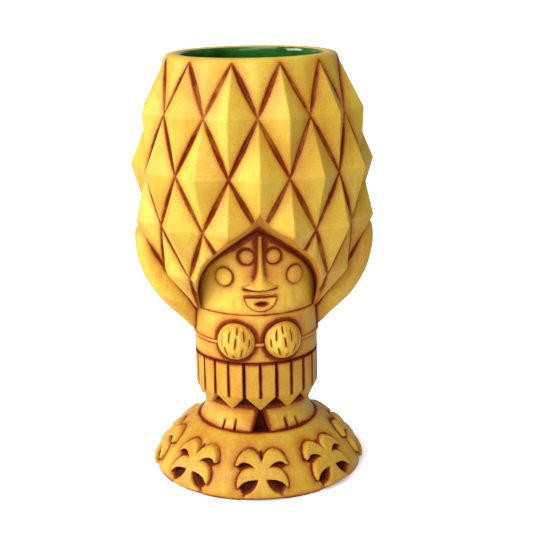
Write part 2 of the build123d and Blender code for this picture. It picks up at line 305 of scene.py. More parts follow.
# In the folded half pitch one groove runs between each pair of rows, zigzagging down.
GROOVES = [
    (crossing(row, 1 if row % 2 == 0 else 0), crossing(row + 1, 0 if row % 2 == 0 else 1))
    for row in range(len(LATTICE) - 1)
]
LIP_TOP = Turned(smooth_outline([
    (43.4, 192.6), (41.8, 195.9), (40.4, 197.9), (38.8, 199.3), (37.0, 199.9), (35.6, 200.0), (34.4, 199.8),
    (33.6, 199.3), (33.4, 197)], closed=False).tolist() + [(0, 197), (0, 150), (64, 150), (64, 160), (50, 182)])


def faceted_body(p):
    """The pyramids of the rows above and below each point, joined with soft ridges."""
    q = folded(p, PITCH)
    band = np.clip(np.searchsorted([-row[0] for row in LATTICE], -p[:, 2]) - 1, 0, len(LATTICE) - 2)
    body = np.full(len(p), 1e9)
    for row, planes in enumerate(FACETS):
        here = (band == row) | (band == row - 1)
        pyramid = None
        for normal, offset in planes:
            plane = q[here] @ normal - offset
            pyramid = plane if pyramid is None else soft_max(pyramid, plane, RIDGE_SOFT)
        body[here] = np.where(body[here] > 1e8, pyramid, soft_min(body[here], pyramid, VALLEY_SOFT))
    return body


def groove_distance(p):
    """Distance to the nearest lattice groove less its half width there."""
    q = folded(p, PITCH)
    best = np.full(len(p), 1e9)
    for start, end in GROOVES:
        d, t = segment_distance(q, start, end)
        half_width = 0.04 + 0.80 * np.sin(np.pi * np.clip(t, 0.0, 1.0)) ** 1.1
        best = np.minimum(best, d - half_width)
    # The moulder smoothed away the groove ends that would run into the sides of the hood.
    _, angle = polar(p)
    by_hood = smooth_step(45.0, 41.0, np.degrees(np.abs(angle))) * smooth_step(102.0, 100.0, p[:, 2])
    return best + 3.0 * by_hood


def cup_outer(p):
    body = faceted_body(p)
    body = soft_max(body, 0.15 - groove_distance(p), 0.6)
    return np.where(p[:, 2] > 160.0, soft_max(body, LIP_TOP(p), 0.9), body)


INNER_WALL = smooth_outline([(33.4, 201), (33.4, 194), (42.4, 175), (47.2, 150), (46.0, 125.4), (40.2, 101.8),
                             (BODY_BORE_R, CHIN_Z)], closed=False)
INNER_SPACE = Turned(INNER_WALL.tolist() + [
    (25, 63), (21.5, 58), (21.5, 46), (18, 41), (18, 19), (30, 16.5), (37, 12), (41, 6.5), (0, 6.5), (0, 201)])

# Half outlines of the hood, from the peak down, where it breaks the cup and at the face.
HOOD_MOUTH = [(0, 134), (4.4, 129.4), (9, 125.7), (14.5, 121.8), (20, 117), (26, 110), (28.2, 103), (28.4, 97),
              (27.8, 92.5), (26.3, 87.5), (25.2, 83), (25, 76)]
HOOD_FACE = [(0, 122.5), (2.8, 121.2), (5.5, 119.7), (11.9, 115), (18, 110), (23, 104), (25.6, 99.3), (27.0, 95.5),
             (27.7, 91), (27.5, 87), (26.5, 83), (26, 76)]
HOOD_MOUTH_DEPTH = [51.0, 51.2, 51.5, 50.5, 48.0, 43.0, 40.5, 38.5, 35.8, 33.4, 32.0, 31.0]
HOOD_FACE_DEPTH = [29.5, 29.4, 29.0, 27.0, 23.4, 18.5, 14.7, 11.9, 10.2, 10.7, 13.0, 14.0]
HOOD_CENTRE_Z = 99.0


def polar_table(half, values):
    """Outline and a value along it as functions of the angle about the hood's centre."""
    points = smooth_outline(half[:-1], closed=False).tolist() + [half[-1]]
    carried = smooth_outline([(v, 0) for v in values[:-1]], closed=False)[:, 0].tolist() + [values[-1]]
    points, carried = np.array(points), np.array(carried)
    t = np.linspace(0, len(points) - 1, 600)
    x = np.interp(t, np.arange(len(points)), points[:, 0])
    z = np.interp(t, np.arange(len(points)), points[:, 1]) - HOOD_CENTRE_Z
    v = np.interp(t, np.arange(len(points)), carried)
    return np.arctan2(x, z), np.hypot(x, z), v


HOOD_TABLES = [polar_table(HOOD_MOUTH, HOOD_MOUTH_DEPTH), polar_table(HOOD_FACE, HOOD_FACE_DEPTH)]


def hood_field(p):
    """Negative inside the drafted hood opening, carried on in front and behind."""
    x, z = np.abs(p[:, 0]), p[:, 2] - HOOD_CENTRE_Z
    angle, rho = np.arctan2(x, z), np.hypot(x, z)
    sizes = []
    for table in HOOD_TABLES:
        sizes += [np.interp(angle, table[0], table[1]), np.interp(angle, table[0], table[2])]
    mouth, mouth_depth, face, face_depth = sizes
    t = (-p[:, 1] - face_depth) / (mouth_depth - face_depth)
    edge = face + (mouth - face) * np.clip(t, -1.0, 1.6)
    side = (rho - edge) * 0.9
    below = 76.0 - p[:, 2]
    return np.maximum(side, below)


def hood_recess(p):
    r, _ = polar(p)
    return np.maximum(np.maximum(hood_field(p), BODY_R - r), p[:, 1] + 8.0)


def hood_block(p, extra=0.0):
    r, _ = polar(p)
    return np.maximum(np.maximum(hood_field(p) - 4.5 - extra, BODY_BORE_R - extra - r), p[:, 1] + 8.0 - extra)


def drink_space(p):
    return np.maximum(INNER_SPACE(p), -hood_block(p))


def cup_field(p):
    r, _ = polar(p)
    z = p[:, 2]
    body = round_max(cup_outer(p), 82.2 - z, 1.0)
    hood = np.minimum(hood_field(p), 90.0)
    front = round_max(body, -np.maximum(hood, p[:, 1] + 8.0), 1.3)
    body = np.where(p[:, 1] < -6.0, front, body)
    body = np.maximum(body, -drink_space(p))
    socket = np.maximum(r - BODY_R, z - CHIN_Z)
    return np.maximum(body, -socket)


def cup_crevice(p):
    groove = groove_distance(p) + 0.1 + 0.6 * np.maximum(p[:, 2] - 198.2, 0.0)
    r, _ = polar(p)
    covered = smooth_step(1.5, 4.0, -cup_outer(p))
    front = (p[:, 1] < -8) & (p[:, 2] < 140)
    hood_line = np.where(front, np.abs(hood_field(p)) + 0.9, 12.0)
    hood_wall = np.where(front, (r - BODY_R) * 0.15 - 0.7, 12.0)
    arms = np.minimum(arm_field(p), arm_field(p * MIRROR)) * 0.75 - 0.1
    torso = np.hypot(np.maximum(r - BODY_R, 0), p[:, 2] - CHIN_Z) * 0.8 - 0.2
    outside = np.minimum(np.minimum(groove, arms), hood_line)
    result = outside + (np.minimum(hood_wall, 3.0) - outside) * covered
    return np.minimum(result, torso)


# ---- Face --------------------------------------------------------------------------------
MIRROR = np.array([-1.0, 1.0, 1.0])
# The moulded features sit a little to the figure's left of the hood's centre line.
FACE_TURN = math.radians(1.5)
# Discs on the face: the way they point in degrees, sideways offset, height, radius.
EYE = (0.0, 6.2, 110.6, 3.4)
CHEEK = (18.0, 7.8, 100.7, 4.4)
DISC_RELIEF = 0.9


def disc_edge(p, disc):
    """Distance outside the rim of a face disc."""
    angle, x, z, radius = disc
    q = turn(p, math.radians(angle))
    return np.where(q[:, 1] < 0, np.hypot(q[:, 0] - x, q[:, 2] - z) - radius, 50.0)


def disc_field(p, disc):
    r, _ = polar(p)
    edge = disc_edge(p, disc)
    crown = DISC_RELIEF - 0.2 * np.clip(1 + edge / disc[3], 0, 1) ** 2
    return np.maximum(round_max(edge, r - BODY_R - crown, 0.55), BODY_R - 0.5 - r)


def disc_rings(p):
    """Distance to the nearest rim of any face disc."""
    q = np.stack([np.abs(p[:, 0]), p[:, 1], p[:, 2]], 1)
    return np.minimum(np.abs(disc_edge(q, EYE)), np.abs(disc_edge(q, CHEEK)))


def disc_wash_and_shade(disc, spread):
    return lambda p: np.abs(disc_edge(p, disc)) * spread + 0.25


NOSE_Z = [94.4, 95.2, 95.9, 96.7, 97.6, 99.0, 100.5, 102.0, 104.5, 108.0, 120.6]
NOSE_HALF = [5.2, 7.2, 7.4, 6.8, 4.9, 3.1, 2.3, 1.85, 1.45, 1.2, 1.1]


def nose_field(p):
    """A ridge that swells out of the face and ends in a crisp curved edge above the mouth."""
    r, _ = polar(p)
    x, z = np.abs(p[:, 0]), p[:, 2]
    width = np.interp(z, NOSE_Z, NOSE_HALF) * 1.15
    height = np.interp(z, [94.5, 97.0, 100.0, 104.0, 112.0, 120.0], [3.2, 2.9, 2.4, 2.1, 1.8, 1.2])
    swell = (1.0 - np.clip(x / width, 0, 1) ** 2) ** 1.5
    body = r - BODY_R - height * swell + 0.3 * np.clip(x - width, 0, 1)
    body = round_max(body * 0.7, 95.3 + 0.008 * x * x - z, 0.35)
    body = round_max(body, z - 120.4, 0.6)
    return np.maximum(np.maximum(body, BODY_R - 0.15 - r), p[:, 1])


def nose_crevice(p):
    """Dark where the bridge leaves the face and under the base, clear on the flared sides."""
    rise = polar(p)[0] - BODY_R
    z = p[:, 2]
    return np.maximum(rise, 0) * 1.1 + np.interp(z, [95, 97, 99.5, 104], [0.0, 1.4, 0.7, 0.0])




MOUTH_TOP, MOUTH_HALF, MOUTH_DROP = 91.6, 7.5, 6.8
MOUTH_OUTLINE = [(MOUTH_HALF * math.cos(a), MOUTH_TOP - MOUTH_DROP * math.sin(a)) for a in np.linspace(0, math.pi, 25)]
SLOT_Z, SLOT_HALF, SLOT_H = 88.6, 2.6, 0.65


def mouth_slot(p):
    """A lens-shaped slot, thick in the middle and pointed at its ends."""
    x = np.abs(p[:, 0])
    half_height = SLOT_H * (1.0 - (np.minimum(x, SLOT_HALF) / SLOT_HALF) ** 2)
    return np.hypot(np.maximum(x - SLOT_HALF, 0), p[:, 2] - SLOT_Z) - half_height


def mouth_field(p):
    r, _ = polar(p)
    edge = polygon_distance(p[:, 0], p[:, 2], MOUTH_OUTLINE)
    lips = round_max(edge, r - BODY_R - 1.5, 0.7)
    slot = np.maximum(mouth_slot(p), BODY_R + 0.2 - r)
    lips = soft_max(lips, -slot, 0.4)
    return np.maximum(np.maximum(lips, BODY_R - 0.6 - r), p[:, 1])


def mouth_crevice(p):
    edge = polygon_distance(p[:, 0], p[:, 2], MOUTH_OUTLINE)
    r, _ = polar(p)
    return np.minimum(mouth_slot(p) - 0.1, np.minimum(np.abs(edge) * 1.5 + 0.1, np.maximum(r - BODY_R, 0) + 0.25))


def lip_line(p):
    """Distance to the shallow line above the mouth."""
    return np.hypot(np.maximum(np.abs(p[:, 0]) - 7.3, 0), p[:, 2] - 92.25)


def on_face(feature):
    """A feature modelled on the centre line, moved to its place on the face."""
    return lambda p: feature(turn(p, FACE_TURN))


def face_field(p):
    r, _ = polar(p)
    q = turn(p, FACE_TURN)
    rings = np.hypot(disc_rings(q), r - BODY_R - 0.15) - 0.4
    line = np.hypot(lip_line(q), r - BODY_R - 0.1) - 0.35
    wall = soft_max(r - BODY_R, -np.minimum(rings, line), 0.3)
    wall = round_max(wall, CHIN_Z - p[:, 2], 0.5)
    wall = np.maximum(wall, BODY_BORE_R - r)
    return np.maximum(np.maximum(wall, hood_field(p) - 3.0), p[:, 1] + 8.4)


def face_wash_and_shade(p):
    q = turn(p, FACE_TURN)
    eyes = disc_edge(np.stack([np.abs(q[:, 0]), q[:, 1], q[:, 2]], 1), EYE)
    hood = np.maximum(-hood_field(p), 0.0)
    # The band along the hood wall is wash in the corner; its widening and darkening towards the top of the face is
    # painted shade of the hood's peak.
    hood = hood * np.interp(p[:, 2], [100, 114], [0.75, 0.45]) + 0.75 * smooth_step(116.0, 96.0, p[:, 2]) - 0.6
    near = np.minimum(hood, p[:, 2] - CHIN_Z + 0.2)
    near = np.minimum(near, np.minimum(disc_rings(q) * 0.9 + 0.12, np.abs(eyes - 0.25) * 0.75 - 0.2))
    width = np.interp(q[:, 2], NOSE_Z, NOSE_HALF)
    beside = np.maximum(np.abs(q[:, 0]) - width, 0) * 0.3
    beside += np.interp(q[:, 2], [97, 99, 101, 108, 119, 121], [1.8, 0.5, 0.0, -0.25, -0.3, 0.3])
    beside = np.where(q[:, 2] > 96.6, beside, 12.0)
    under = np.hypot(np.maximum(np.abs(q[:, 0]) - 7.2, 0), q[:, 2] - 94.9 - 0.008 * q[:, 0] ** 2) - 0.5
    near = np.minimum(near, np.minimum(beside, under * 1.1))
    near = np.minimum(near, lip_line(q) * 2.0 + 0.1)
    return np.minimum(near, np.maximum(mouth_field(q), 0) * 1.2 + 0.05)


# ---- Body --------------------------------------------------------------------------------
TORSO = Turned([(25, CHIN_Z), (29.0, CHIN_Z), (29.5, 82.2), (29.5, 59.8), (28.9, WAIST_Z), (26, WAIST_Z), (26, 42.4),
                (22, 42.4), (22, 20), (18, 20), (18, 41), (21.5, 46), (21.5, 58), (25, 63)])
COCONUT_ANGLE, COCONUT_SINK, COCONUT_Z, COCONUT_R = math.radians(21.8), 28.0, 70.1, 8.9
CORD_Z, CORD_R = 68.6, 0.8
SKIRT_CORNER_Z, SKIRT_TIP_Z = 42.4, 34.8

# The arm's outer surface as (height, radius).
ARM_PROFILE = smooth_outline([(64, 28.6), (67, 29.8), (73.5, 34.4), (80.5, 40.9), (86.6, 45.9), (93, 50.3), (99, 53.4),
                              (105, 55.2), (111, 56.2), (117, 56.2), (121, 55.4), (126, 53.0)], closed=False)
# Outline of the arm as (degrees from the front, height), with walls that run towards the axis.
ARM_OUTLINE = [(84, 67.5), (79, 72), (76, 78), (71, 83.5), (68.5, 88), (71, 94), (74, 101), (75, 107), (75.5, 113),
               (78, 118.5), (84, 122.3), (92, 122.6), (100, 118), (105.5, 109), (106, 98), (103, 86), (96, 75.5), (89, 68.5)]
ARM_METRIC_R = 42.0
ARM_SIDE = smooth_outline([(math.radians(a) * ARM_METRIC_R, z) for a, z in ARM_OUTLINE], steps=4)


def arm_field(p):
    """The figure's left arm, on +X; mirror the points for the right one."""
    r, angle = polar(p)
    outer = (r - np.interp(p[:, 2], ARM_PROFILE[:, 0], ARM_PROFILE[:, 1])) * 0.8
    outline = polygon_distance(angle * ARM_METRIC_R, p[:, 2], ARM_SIDE) * 0.8
    arm = round_max(outer, outline, 4.5)
    arm = np.maximum(arm, 12.0 - p[:, 0])
    arm = np.maximum(arm, -(faceted_body(p) + 1.0))
    return np.maximum(arm, BODY_R - 0.8 - r)


def torso_field(p):
    return TORSO(p)


def coconut_local(p):
    q = turn(p, COCONUT_ANGLE)
    return q - np.array([0.0, -COCONUT_SINK, COCONUT_Z])


# Slits in the husk: longitude in degrees, then latitude of the lower and upper end.
HUSK_SLITS = [(-60, -10, 12), (-44, 12, 42), (-34, -42, -14), (-22, 34, 58), (-14, -8, 20), (-4, -58, -36), (8, 10, 42),
              (20, -36, -8), (34, -4, 24), (40, -58, -36), (50, 22, 46), (62, -24, 2)]


def husk_slits(p):
    """Distance to the nearest slit; slits follow the husk's meridians and taper to points."""
    q = coconut_local(p)
    rho = np.maximum(np.linalg.norm(q, axis=1), 1e-6)
    latitude = np.arcsin(np.clip(q[:, 2] / rho, -1, 1))
    longitude = np.arctan2(q[:, 0], -q[:, 1])
    best = np.full(len(p), 20.0)
    for degrees, low, high in HUSK_SLITS:
        middle, half = math.radians(low + high) / 2, math.radians(high - low) / 2
        lean = 0.12 * (latitude - middle) * math.copysign(1.0, degrees)
        across = np.abs(longitude - math.radians(degrees) - lean) * np.cos(latitude)
        along = np.abs(latitude - middle) / half
        width = 0.12 * np.clip(1.0 - along ** 2, 0.0, 1.0)
        gap = np.hypot(across, half * np.maximum(along - 1.0, 0.0)) * COCONUT_R - width
        best = np.minimum(best, gap)
    return best


def coconut_field(p):
    r, _ = polar(p)
    husk = np.linalg.norm(coconut_local(p), axis=1) - COCONUT_R
    slits = np.maximum(husk_slits(p), 0)
    longitude = np.arctan2(coconut_local(p)[:, 0], -coconut_local(p)[:, 1])
    husk = husk + 0.45 * np.exp(-((slits / 0.24) ** 2)) + 0.1 * np.cos(longitude * 19.0)
    return np.maximum(husk, BODY_R - 0.7 - r)


def cord_field(p):
    r, _ = polar(p)
    return np.hypot(r - BODY_R, p[:, 2] - CORD_Z) - CORD_R


def coconuts(p):
    return np.minimum(coconut_field(p), coconut_field(p * MIRROR))


def arms(p):
    return np.minimum(arm_field(p), arm_field(p * MIRROR))


def torso_crevice(p):
    near = np.minimum(CHIN_Z - p[:, 2] + 0.2, p[:, 2] - WAIST_Z - 0.5)
    above = np.where(p[:, 2] > CORD_Z, 0.7, 0.1)
    near = np.minimum(near, cord_field(p) + above)
    near = np.minimum(near, coconuts(p) * 0.5 - 0.6)
    near = np.minimum(near, arms(p) * 0.5 - 0.5)
    return np.where(p[:, 2] < SKIRT_CORNER_Z, -1.0, near)


def arm_crevice(p):
    r, _ = polar(p)
    return np.maximum(np.minimum(cup_outer(p) * 0.9, r - BODY_R), 0) - 0.1


def coconut_crevice(p):
    r, _ = polar(p)
    return np.minimum(husk_slits(p) * 2.8, np.maximum(r - BODY_R, 0) * 1.1 + 0.2)


def cord_crevice(p):
    r, _ = polar(p)
    return np.minimum(coconuts(p), (r - BODY_R) * 2.0)


# ---- Skirt and feet ----------------------------------------------------------------------
ANKLE_R = 25.3
PLANK = np.array([math.sin(PITCH / 4), -math.cos(PITCH / 4), 0.0])
SEAM = np.array([math.cos(PITCH / 2), math.sin(PITCH / 2), 0.0])


def skirt_parts(p):
    """Distances to the seam between panels and to the slit between planks."""
    q = folded(p, PITCH)
    return q, -(q @ SEAM), q[:, 0]


def skirt_field(p):
    r, _ = polar(p)
    q, seam, middle = skirt_parts(p)
    z = p[:, 2]
    lean = np.maximum(SKIRT_CORNER_Z - z, 0.0)
    front = (q @ PLANK - BODY_R + lean * 0.42) * np.where(lean > 0, 0.92, 1.0)
    low = SKIRT_TIP_Z + (SKIRT_CORNER_Z - SKIRT_TIP_Z) * middle / 7.2
    panel = round_max(front, 0.5 - seam, 0.45)
    panel = round_max(panel, (low - z) * 0.7, 0.5)
    panel = round_max(panel, z - WAIST_Z, 0.5)
    slit = np.maximum(np.maximum(middle - 0.42, 41.9 - z), 27.9 - r)
    panel = soft_max(panel, -slit, 0.35)
    back = np.where(z > SKIRT_CORNER_Z, 25.6, ANKLE_R - 0.2)
    return np.maximum(panel, back - r)


def skirt_wash_and_shade(p):
    _, seam, middle = skirt_parts(p)
    slit = np.where(p[:, 2] > 42.0, middle - 0.4, np.hypot(middle, p[:, 2] - 42.0))
    near = np.minimum(seam - 0.5, slit) * 1.5
    # The slits are deepened, and the cap at 1.6 keeps some wash over every panel: painted shade of the cup above.
    near = np.minimum(np.where(near < 0.1, near - 0.15, near), 1.6)
    return np.minimum(near, (WAIST_Z - p[:, 2]) * 0.9 - 0.35)


FOOT = Turned([(21.4, 24.0), (28.3, 24.0), (28.2, 24.9), (27.0, 26.6), (25.9, 28.8), (25.4, 31), (25.3, 34), (25.3, 37),
               (24.4, 40.5), (22.6, 42.4), (21.4, 42.4)])
# Slits between the toes: degrees from the front, height of the upper end.
TOES = [(27.0, 29.4), (40.0, 28.4)]


def channel_edge(p):
    """Distance into the foot from the channel between the feet."""
    return (np.interp(p[:, 2], [24.5, 28, 33, 43], [3.9, 2.3, 0.7, 0.7]) - p[:, 0]) * 0.93


def toe_slits(p):
    """Distance to the slits between the toes, which taper upwards."""
    best = np.full(len(p), 20.0)
    for angle, top in TOES:
        q = turn(p, math.radians(angle))
        width = 0.36 * np.clip((top - p[:, 2]) / 4.0, 0.0, 1.0)
        slit = np.hypot(q[:, 0], np.maximum(p[:, 2] - top, 0)) - width
        best = np.minimum(best, np.where(q[:, 1] < 0, slit, 20.0))
    return best


def foot_field(p):
    """The figure's left foot, on +X."""
    r, _ = polar(p)
    foot = round_max(FOOT(p), channel_edge(p), 1.6)
    slits = np.maximum(toe_slits(p), 25.0 - r)
    return soft_max(foot, -slits, 0.7)


def foot_wash_and_shade(p):
    near = np.minimum(toe_slits(p) * 1.3, (-channel_edge(p) - 0.9) * 0.5)
    near = np.minimum(near, (p[:, 2] - 24.8) * 0.9)
    # Painted shade: the wash darkens the top of the foot towards the skirt's hem, where the skirt shades it.
    return np.minimum(near, (36.2 - p[:, 2]) * 0.4)


# ---- Base --------------------------------------------------------------------------------
def dome_profile():
    t = np.linspace(0, 1, 40)
    t = 1 - (1 - t) ** 2
    r = DOME_TOP_R + (DOME_R - DOME_TOP_R) * t
    z = 3.0 + (DOME_TOP_Z - 3.0) * (1 - t ** 1.4) ** 0.8
    return list(zip(r, z))


DOME = Turned(dome_profile() + [(DOME_R, 1.0), (DOME_R - 0.3, 0.3), (DOME_R - 1.0, 0.0), (43.4, 0.0), (43.0, 0.4),
                                (42.6, 1.5), (0, 1.5), (0, 6.5), (41, 6.5), (37, 12), (30, 16.5), (18, 19), (18, 20),
                                (22, 20), (22, DOME_TOP_Z)])
PALM_PITCH = math.radians(45.0)
PALM_TURN = math.radians(-1.2)
PALM_RELIEF = 1.3
# Half outlines as (sideways, height): the palm, the crescent between its fronds and the hole
# between the lower frond and the trunk.
PALM_HALF = [(0, 15.7), (1.2, 18.0), (3.2, 19.5), (5.5, 19.9), (8.2, 19.1), (10.7, 17.1), (12.4, 14.1), (11.2, 14.4),
             (9.6, 15.4), (7.9, 15.7), (5.6, 15.2), (3.2, 13.7), (5.5, 13.7), (7.6, 13.2), (9.6, 12.0), (11.2, 9.9),
             (12.0, 7.6), (11.8, 5.5), (10.9, 6.5), (9.2, 8.0), (6.6, 9.0), (4.2, 9.3), (2.0, 9.4), (2.3, 8.0),
             (3.6, 6.0), (5.6, 4.2), (8.2, 2.9), (8.6, 1.8), (0, 1.8)]
CRESCENT = [(12.2, 14.0), (9.6, 15.4), (7.9, 15.7), (5.6, 15.2), (3.2, 13.7), (5.5, 13.7), (7.6, 13.2), (9.4, 12.6)]
HOLE = [(2.0, 9.4), (4.2, 9.3), (6.6, 9.0), (9.2, 8.0), (11.0, 6.2), (8.6, 3.2), (5.6, 4.2), (3.6, 6.0), (2.3, 8.0)]
PALM_OUTLINE = PALM_HALF + [(-x, z) for x, z in reversed(PALM_HALF) if x > 0]


def palm_plane(p):
    """Points seen by the nearest palm, folded to one side of its trunk."""
    return folded(turn(p, PALM_TURN), PALM_PITCH)


def palm_edge(p):
    q = palm_plane(p)
    return polygon_distance(q[:, 0], q[:, 2], PALM_OUTLINE) * 0.95


def palm_gaps(p):
    """Distance to the deep cuts in and around a palm, negative inside them."""
    q = palm_plane(p)
    crescent = polygon_distance(q[:, 0], q[:, 2], CRESCENT)
    hole = polygon_distance(q[:, 0], q[:, 2], HOLE)
    notch = np.hypot(q[:, 0], np.maximum(np.abs(q[:, 2] - 17.4) - 1.2, 0)) - 0.3
    return np.minimum(np.minimum(crescent, hole), notch)


def palm_field(p):
    dome = DOME(p)
    edge = palm_edge(p)
    return np.maximum(round_max(edge, dome - PALM_RELIEF, 0.6), -(dome + 2.2))


def near_palms(p, dome):
    return (p[:, 2] < 24.4) & (dome > -4.0) & (np.hypot(p[:, 0], p[:, 1]) > 29)


def dome_field(p):
    """The dome, dished softly round each palm and cut deep in the gaps between its fronds."""
    dome = DOME(p)
    near = near_palms(p, dome)
    dish = np.zeros(len(p))
    if near.any():
        dish[near] = 0.5 * np.exp(-((np.maximum(palm_edge(p[near]), 0) / 1.8) ** 2))
        dish[near] += 1.2 * smooth_step(0.7, -0.8, palm_gaps(p[near]))
    return dome + dish


def dome_wash_and_shade(p):
    r, _ = polar(p)
    feet = np.hypot(r - DOME_TOP_R, p[:, 2] - DOME_TOP_Z) * 0.9 - 0.35
    result = np.where(r < DOME_TOP_R - 0.8, -1.0, feet)
    near = near_palms(p, DOME(p)) & (p[:, 2] > 1.6)
    apart = np.maximum(palm_edge(p[near]), 0)
    halo = np.where(apart < 1.0, apart * 0.7, 0.7 + (apart - 1.0) * 0.45)
    palms = np.minimum(halo, palm_gaps(p[near]) * 0.9)
    result[near] = np.minimum(result[near], palms)
    # Painted shadow: a dark line along the base's bottom edge stands in for the contact shadow on the floor.
    contact_shade = np.where(r > 48.0, (p[:, 2] - 0.5) * 0.9, 12.0)
    return np.minimum(np.where(p[:, 2] < 1.6, 12.0, result), contact_shade)


def palm_crevice(p):
    inside = np.maximum(-palm_edge(p), 0)
    low = np.maximum(DOME(p) + 0.4, 0)
    return np.maximum(low, inside * 0.9) + np.minimum(np.maximum(palm_gaps(p), 0), 0.5)


def liner_field(p):
    space = drink_space(p)
    return round_max(np.abs(space - 0.15) - 0.65, p[:, 2] - 199.6, 0.3)


# ---- Materials ---------------------------------------------------------------------------
def node(tree, kind, **values):
    made = tree.nodes.new(kind)
    for key, value in values.items():
        setattr(made, key, value)
    return made


def noise(tree, scale, stretch=(1, 1, 1), detail=3.0, roughness=0.55):
    """Noise over the object's own millimetres, stretched along each axis."""
    place = node(tree, "ShaderNodeTexCoord")
    mapping = node(tree, "ShaderNodeMapping")
    mapping.inputs["Scale"].default_value = [s / MM for s in stretch]
    tree.links.new(place.outputs["Object"], mapping.inputs["Vector"])
    texture = node(tree, "ShaderNodeTexNoise")
    texture.inputs["Scale"].default_value = scale
    texture.inputs["Detail"].default_value = detail
    texture.inputs["Roughness"].default_value = roughness
    tree.links.new(mapping.outputs["Vector"], texture.inputs["Vector"])
    return texture.outputs["Fac"]


def math_node(tree, operation, a, b=0.0, c=0.0):
    made = node(tree, "ShaderNodeMath", operation=operation)
    for slot, value in zip(made.inputs, (a, b, c)):
        if hasattr(value, "links"):
            tree.links.new(value, slot)
        else:
            slot.default_value = value
    return made.outputs[0]


def ramp(tree, value, low, high, out_low=0.0, out_high=1.0):
    made = node(tree, "ShaderNodeMapRange", interpolation_type="SMOOTHSTEP")
    tree.links.new(value, made.inputs["Value"])
    for name, number in (("From Min", low), ("From Max", high), ("To Min", out_low), ("To Max", out_high)):
        made.inputs[name].default_value = number
    return made.outputs["Result"]


def blend_colour(tree, factor, a, b, mode="MIX"):
    made = node(tree, "ShaderNodeMix", data_type="RGBA", blend_type=mode)
    for slot, value in ((made.inputs[0], factor), (made.inputs[6], a), (made.inputs[7], b)):
        if hasattr(value, "links"):
            tree.links.new(value, slot)
        elif isinstance(value, tuple):
            slot.default_value = (*value, 1.0)
        else:
            slot.default_value = value
    return made.outputs[2]


YELLOW = (0.60, 0.322, 0.027)
PALE = (0.71, 0.475, 0.055)
ORANGE = (0.45, 0.130, 0.007)
# Wash colours; they also paint the shade that the wash distance carries in places.
DARK_WASH_AND_SHADE = (0.170, 0.017, 0.002)
DEEP_WASH_AND_SHADE = (0.040, 0.004, 0.001)


def antiqued_and_shaded_clay():
    """Satin yellow ceramic with a red-brown wash gathered in every crevice; the same wash colours also paint shade
    wherever the wash distance carries it.
    """
    material = bpy.data.materials.new("antiqued_yellow")
    material.use_nodes = True
    tree = material.node_tree
    shader = tree.nodes["Principled BSDF"]
    wash_and_shade = node(tree, "ShaderNodeAttribute", attribute_name="wash_and_shade").outputs["Fac"]

    fine = noise(tree, 0.9, detail=4.0)
    streak = noise(tree, 0.30, stretch=(1, 1, 0.16), detail=4.0)
    broad = noise(tree, 0.045, stretch=(1, 1, 0.5), detail=2.0)
    patchy = noise(tree, 0.07, detail=3.0)
    wobble = math_node(tree, "MULTIPLY", math_node(tree, "SUBTRACT", fine, 0.5), 0.5)
    fade = math_node(tree, "MULTIPLY", math_node(tree, "SUBTRACT", patchy, 0.48), 1.6)
    edge = math_node(tree, "ADD", math_node(tree, "ADD", wash_and_shade, wobble), fade)
    brushed = math_node(tree, "MULTIPLY", math_node(tree, "SUBTRACT", streak, 0.5), 8.0)
    reach = math_node(tree, "ADD", wash_and_shade, brushed)

    tint = blend_colour(tree, ramp(tree, broad, 0.35, 0.65), YELLOW, PALE)
    patches = math_node(tree, "MULTIPLY", ramp(tree, streak, 0.45, 0.70), ramp(tree, broad, 0.40, 0.62))
    tint = blend_colour(tree, math_node(tree, "MULTIPLY", patches, 0.45), tint, ORANGE)
    tint = blend_colour(tree, ramp(tree, wash_and_shade, 3.5, 9.0, 0.0, 0.45), tint, PALE)
    tint = blend_colour(tree, ramp(tree, reach, 0.3, 4.0, 0.42, 0.0), tint, ORANGE)
    tint = blend_colour(tree, ramp(tree, edge, 0.2, 1.9, 0.85, 0.0), tint, ORANGE)
    core = ramp(tree, edge, 0.15, 0.85, 0.95, 0.0)
    tint = blend_colour(tree, core, tint, DARK_WASH_AND_SHADE)
    tint = blend_colour(tree, ramp(tree, edge, -0.7, 0.05, 0.9, 0.0), tint, DEEP_WASH_AND_SHADE)
    mottle = ramp(tree, noise(tree, 1.1, detail=4.0, roughness=0.65), 0.30, 0.70, 0.92, 1.05)
    tint = blend_colour(tree, 1.0, tint, mottle, mode="MULTIPLY")
    tree.links.new(tint, shader.inputs["Base Color"])

    rough = ramp(tree, fine, 0.3, 0.7, 0.36, 0.50)
    rough = math_node(tree, "ADD", rough, math_node(tree, "MULTIPLY", core, 0.15))
    tree.links.new(rough, shader.inputs["Roughness"])
    tree.links.new(math_node(tree, "SUBTRACT", 0.27, math_node(tree, "MULTIPLY", core, 0.22)),
                   shader.inputs["Specular IOR Level"])

    grain = noise(tree, 1.6, detail=5.0, roughness=0.6)
    ripple = noise(tree, 0.16, detail=2.0)
    relief = math_node(tree, "ADD", math_node(tree, "MULTIPLY", grain, 0.25), ripple)
    bump = node(tree, "ShaderNodeBump")
    bump.inputs["Strength"].default_value = 0.35
    bump.inputs["Distance"].default_value = 0.6 * MM
    tree.links.new(relief, bump.inputs["Height"])
    tree.links.new(bump.outputs["Normal"], shader.inputs["Normal"])
    return material


